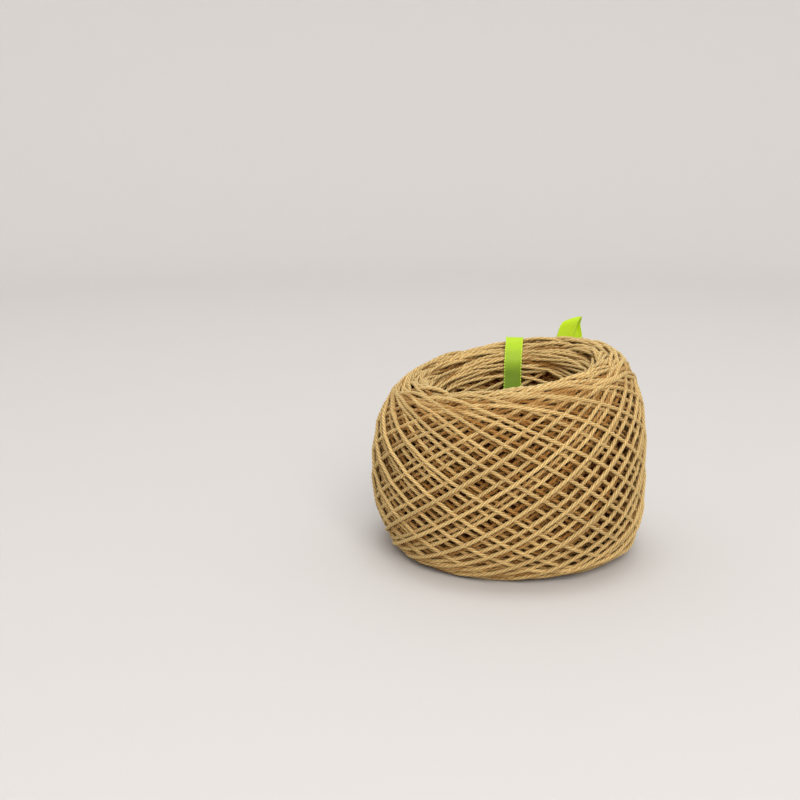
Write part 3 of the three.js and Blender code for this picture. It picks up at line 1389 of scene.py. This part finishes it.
@dataclass(frozen=True)
class CoreFinish:
    """The shaded turns deep inside the winding."""

    # Painted shade: the hidden turns are given a dark maroon brown in place of the yarn's own colour
    base: Colour = colour(0.38, 0.19, 0.08)

    def material(self) -> bpy.types.Material:
        """Makes the material.

        Returns:
            The material.
        """
        made, _, shader = new_material("hidden_turns")
        set_inputs(shader, {"Base Color": self.base, "Roughness": 1.0, "Specular IOR Level": 0.0})
        return made


@dataclass(frozen=True)
class SatinFinish:
    """Lime satin ribbon: fine ribs across it, a matt selvage with a row of paler stitches, and painted
    shade where it lies in the hollow.
    """

    base: Colour = colour(0.74, 0.88, 0.0)
    shaded: Colour = colour(0.45, 0.58, 0.01)
    selvage: Colour = colour(0.81, 0.93, 0.36)
    roughness: float = 0.42
    selvage_roughness: float = 0.72
    selvage_from: float = 0.88
    specular: float = 0.35
    stitch: float = RibbonShape.scallop_length
    rib_pitch: float = 0.42
    rib_height: float = 0.00003
    grain: Grain = Grain(scale=1800.0, spread=0.15, depth=0.00003)

    def material(self, fibre: bpy.types.ShaderNodeTree) -> bpy.types.Material:
        """Makes the material.

        Args:
            fibre: The fibre grain group.

        Returns:
            The material.
        """
        made, graph, shader = new_material("satin")
        grain = self.grain.add(graph, fibre)
        length = graph.attribute("length")
        out = graph.math("ABSOLUTE", graph.attribute("across"))
        edge = graph.math("GREATER_THAN", out, self.selvage_from)
        waves = graph.math("SINE", graph.math("MULTIPLY", length, TURN / self.stitch))
        stitches = graph.math("MULTIPLY", edge, graph.math("MULTIPLY_ADD", waves, 0.5, 0.5))
        # Painted shade: a darker green where the strap lies in the hollow
        middle = graph.mix(graph.attribute("deep"), self.base, self.shaded)
        base = graph.mix(stitches, middle, self.selvage)
        graph.join(graph.scale(base, grain.outputs["Mask"]), shader.inputs["Base Color"])
        rougher = self.selvage_roughness - self.roughness
        roughness = graph.math("MULTIPLY_ADD", edge, rougher, self.roughness)
        graph.join(roughness, shader.inputs["Roughness"])
        ribs = graph.add("ShaderNodeBump")
        turns = graph.math("MULTIPLY", length, TURN / self.rib_pitch)
        graph.join(graph.math("SINE", turns), ribs.inputs["Height"])
        graph.join(grain.outputs["Normal"], ribs.inputs["Normal"])
        graph.join(ribs.outputs["Normal"], shader.inputs["Normal"])
        set_inputs(ribs, {"Distance": self.rib_height})
        set_inputs(shader, {"Specular IOR Level": self.specular})
        return made


@dataclass(frozen=True)
class PaperFinish:
    """The plain pale stage."""

    base: Colour = colour(0.82, 0.81, 0.80)

    def material(self) -> bpy.types.Material:
        """Makes the material.

        Returns:
            The material.
        """
        made, _, shader = new_material("stage_paper")
        set_inputs(shader, {"Base Color": self.base, "Roughness": 0.7, "Specular IOR Level": 0.2})
        return made


@dataclass(frozen=True)
class SoftLight:
    """A square soft light: its middle and the point that it faces, in metres, and its watts."""

    name: str
    place: Triple
    aim: Triple
    power: float
    tint: Triple
    size: float = 0.8

    def build(self) -> None:
        """Makes the light and adds it to the stage."""
        lamp = bpy.data.lights.new(self.name, "AREA")
        lamp.size = self.size
        lamp.energy = self.power
        lamp.color = self.tint
        made = bpy.data.objects.new(self.name, lamp)
        made.location = self.place
        x, y, z = (a - b for a, b in zip(self.place, self.aim))
        made.rotation_euler = (math.atan2(math.hypot(x, y), z), 0.0, math.atan2(y, x) + math.pi / 2)
        bpy.context.scene.collection.objects.link(made)


KEY_LIGHT = SoftLight(
    "key_light", place=(0.15, -1.05, 0.8), aim=(0.0, 0.0, 0.03), power=12.1, tint=(1.0, 0.985, 0.965)
)
WALL_LIGHT = SoftLight(
    "wall_light", place=(0.0, 0.1, 1.7), aim=(0.0, 1.4, 0.5), power=10.5, tint=(1.0, 0.99, 0.98)
)


@dataclass
class Studio:
    """A round stage that curves up into its wall, and soft light from above, in metres."""

    middle_radius: float = 0.02
    floor_radius: float = 0.9
    bend_radius: float = 0.5
    bend_points: int = 16
    wall_height: float = 1.9
    board: float = 0.01
    rounds: int = 96
    sky: Colour = colour(0.97, 0.97, 0.98)
    sky_strength: float = 0.84
    finish: PaperFinish = PaperFinish()

    def build(self) -> None:
        """Makes the stage, the lights and the world, and sets how colours are shown."""
        self._stage()
        KEY_LIGHT.build()
        WALL_LIGHT.build()
        self._world()
        view = bpy.context.scene.view_settings
        view.view_transform = "Standard"
        view.look = "None"
        view.exposure = 0.0

    def _stage(self) -> None:
        """Makes the floor and its wall as one closed board."""
        wall = self.floor_radius + self.bend_radius
        points = [(self.middle_radius, 0.0), (self.floor_radius, 0.0)]
        for a in np.linspace(0, math.pi / 2, self.bend_points)[1:]:
            out, up = math.sin(a), 1 - math.cos(a)
            points.append((self.floor_radius + self.bend_radius * out, self.bend_radius * up))
        points += [(wall, self.wall_height), (wall + self.board, self.wall_height)]
        points += [(wall + self.board, -self.board), (self.middle_radius, -self.board)]
        r, z = np.array(points).T / MM
        angle = np.linspace(0, TURN, self.rounds, endpoint=False)[:, None]
        vertices = np.stack([r * np.cos(angle), r * np.sin(angle), z + 0 * angle], axis=-1)
        first = np.arange(self.rounds)[None] * len(points)
        top, under = first[:, ::-1], first + len(points) - 1
        quads = skin_quads(self.rounds, len(points), wrapped=False)
        skin = Skin()
        skin.add(vertices.reshape(-1, 3), [quads, top, under], {})
        skin.make("stage_floor", self.finish.material())

    def _world(self) -> None:
        """Lights the open sky above the wall evenly."""
        world = bpy.data.worlds.new("studio_world")
        world.use_nodes = True
        sky = world.node_tree.nodes["Background"]
        set_inputs(sky, {"Color": self.sky, "Strength": self.sky_strength})
        bpy.context.scene.world = world


@dataclass(frozen=True)
class PhotoCamera:
    """The camera at the photo's angle, in metres and degrees."""

    place: Triple = (-0.0403, -0.3997, 0.1464)
    pitch: float = 77.28
    lens: float = 49.5
    sensor: float = 36.0
    nearest: float = 0.01

    def build(self) -> None:
        """Makes the camera and has the scene use it."""
        data = bpy.data.cameras.new("photo_camera")
        data.lens = self.lens
        data.sensor_width = self.sensor
        data.clip_start = self.nearest
        made = bpy.data.objects.new("photo_camera", data)
        made.location = self.place
        made.rotation_euler = (math.radians(self.pitch), 0.0, 0.0)
        bpy.context.scene.collection.objects.link(made)
        bpy.context.scene.camera = made


def main() -> None:
    """Builds the camera, the ball of yarn and its studio."""
    logging.basicConfig(level=logging.INFO)
    PhotoCamera().build()
    ring = RingSection()
    fibre = fibre_group()
    yarn = WoundYarn(ring, Winder(ring))
    yarn.lay()
    yarn.build(CottonFinish().material(fibre), CoreFinish().material())
    RibbonTie(ring).build(yarn.middle, yarn.fine.radius, SatinFinish().material(fibre))
    Studio().build()


if __name__ == "__main__":
    main()
